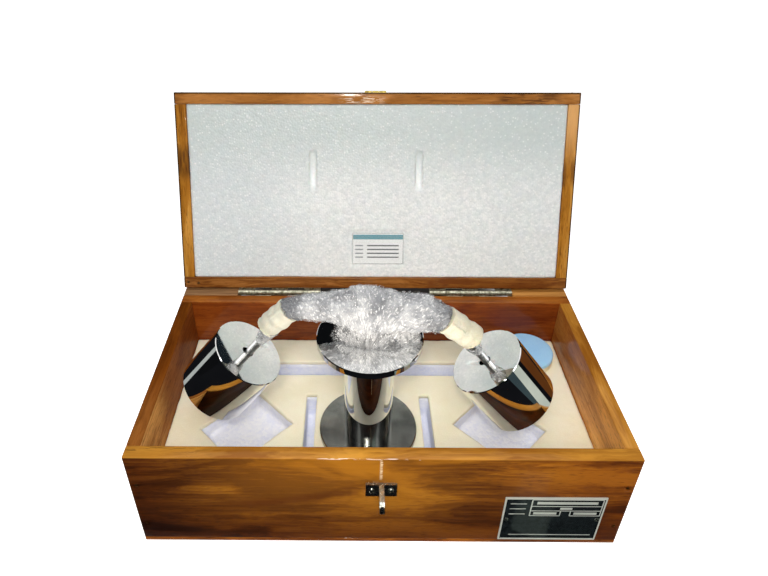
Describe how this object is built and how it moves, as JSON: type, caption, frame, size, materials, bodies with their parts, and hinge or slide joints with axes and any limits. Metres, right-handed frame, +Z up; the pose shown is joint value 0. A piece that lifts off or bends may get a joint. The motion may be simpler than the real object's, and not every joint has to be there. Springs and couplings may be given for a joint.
{
  "type": "ball pressure test apparatus",
  "caption": "Ball pressure test apparatus: a weighted yoke rests on a steel ball over a round support, standing in a foam-lined wooden case with a hinged lid and hasp.",
  "frame": {"origin": "centre of the underside of the case", "axes": "+X along the case to the right seen from its front, -Y towards the front with the staple and the nameplate, +Z up"},
  "size_m": [0.355, 0.3014, 0.2678],
  "materials": {
    "wood": "glossy amber varnish over streaky brown wood",
    "bare_wood": "sawn and unvarnished",
    "steel": "plain drawn steel",
    "dark_steel": "blackened steel",
    "brushed_steel": "turned and brushed grey steel",
    "chrome": "mirror-bright plating",
    "zinc": "bright zinc plating",
    "black_plate": "black anodised sheet with a bare bright border",
    "white_foam": "expanded polyethylene foam",
    "cream_foam": "fine polyurethane foam",
    "blue_foam": "fine foam",
    "clear_film": "clear film",
    "label": "white card with a teal band"
  },
  "bodies": {
    "case": {"base_board": "wood", "front_panel": "wood", "back_panel": "wood", "left_panel": "wood", "right_panel": "wood", "panel_nails": "steel", "left_lid_stop": "bare_wood", "right_lid_stop": "bare_wood", "tray_block": "white_foam", "tray_sheet": "cream_foam", "blue_pad": "blue_foam", "staple": "zinc", "staple_screws": "zinc", "nameplate": "black_plate", "nameplate_rivets": "zinc", "left_hinge_case_leaf": "zinc", "right_hinge_case_leaf": "zinc", "left_hinge_pin": "steel", "right_hinge_pin": "steel", "case_leaf_screws": "zinc"},
    "lid": {"lid_board": "wood", "lid_front_rail": "wood", "lid_back_rail": "wood", "lid_left_rail": "wood", "lid_right_rail": "wood", "lid_nails": "steel", "lid_foam": "white_foam", "label_sleeve": "clear_film", "label_card": "label", "left_hinge_lid_leaf": "zinc", "right_hinge_lid_leaf": "zinc", "lid_leaf_screws": "zinc", "hasp_leaf": "zinc", "hasp_leaf_screws": "zinc", "hasp_pin": "steel"},
    "hasp": {"hasp_strap": "zinc"},
    "support": {"support_base": "brushed_steel", "support_column": "chrome", "support_top": "chrome", "support_screw": "steel"},
    "loader": {"yoke_bar": "chrome", "yoke_boss": "chrome", "yoke_set_screw": "dark_steel", "ball_stem": "chrome", "stem_nut": "zinc", "steel_ball": "chrome", "left_weight": "chrome", "right_weight": "chrome", "left_sleeve": "cream_foam", "right_sleeve": "cream_foam", "film_wrap": "clear_film"}
  },
  "joints": [
    {"name": "lid_hinge", "type": "hinge", "parent": "case", "child": "lid", "pos_m": [0, 0.0934, 0.096], "axis": [1, 0, 0], "range_deg": [0, 45]},
    {"name": "hasp_hinge", "type": "hinge", "parent": "lid", "child": "hasp", "pos_m": [0, 0.19069, 0.25445], "axis": [1, 0, 0], "range_deg": [-17.5, 250.4]},
    {"name": "support_lift", "type": "slide", "parent": "case", "child": "support", "axis": [0, 0, 1], "range_m": [0, 0.04]},
    {"name": "loader_lift", "type": "slide", "parent": "support", "child": "loader", "axis": [0, -0.7071, 0.7071], "range_m": [0, 0.06]}
  ]
}
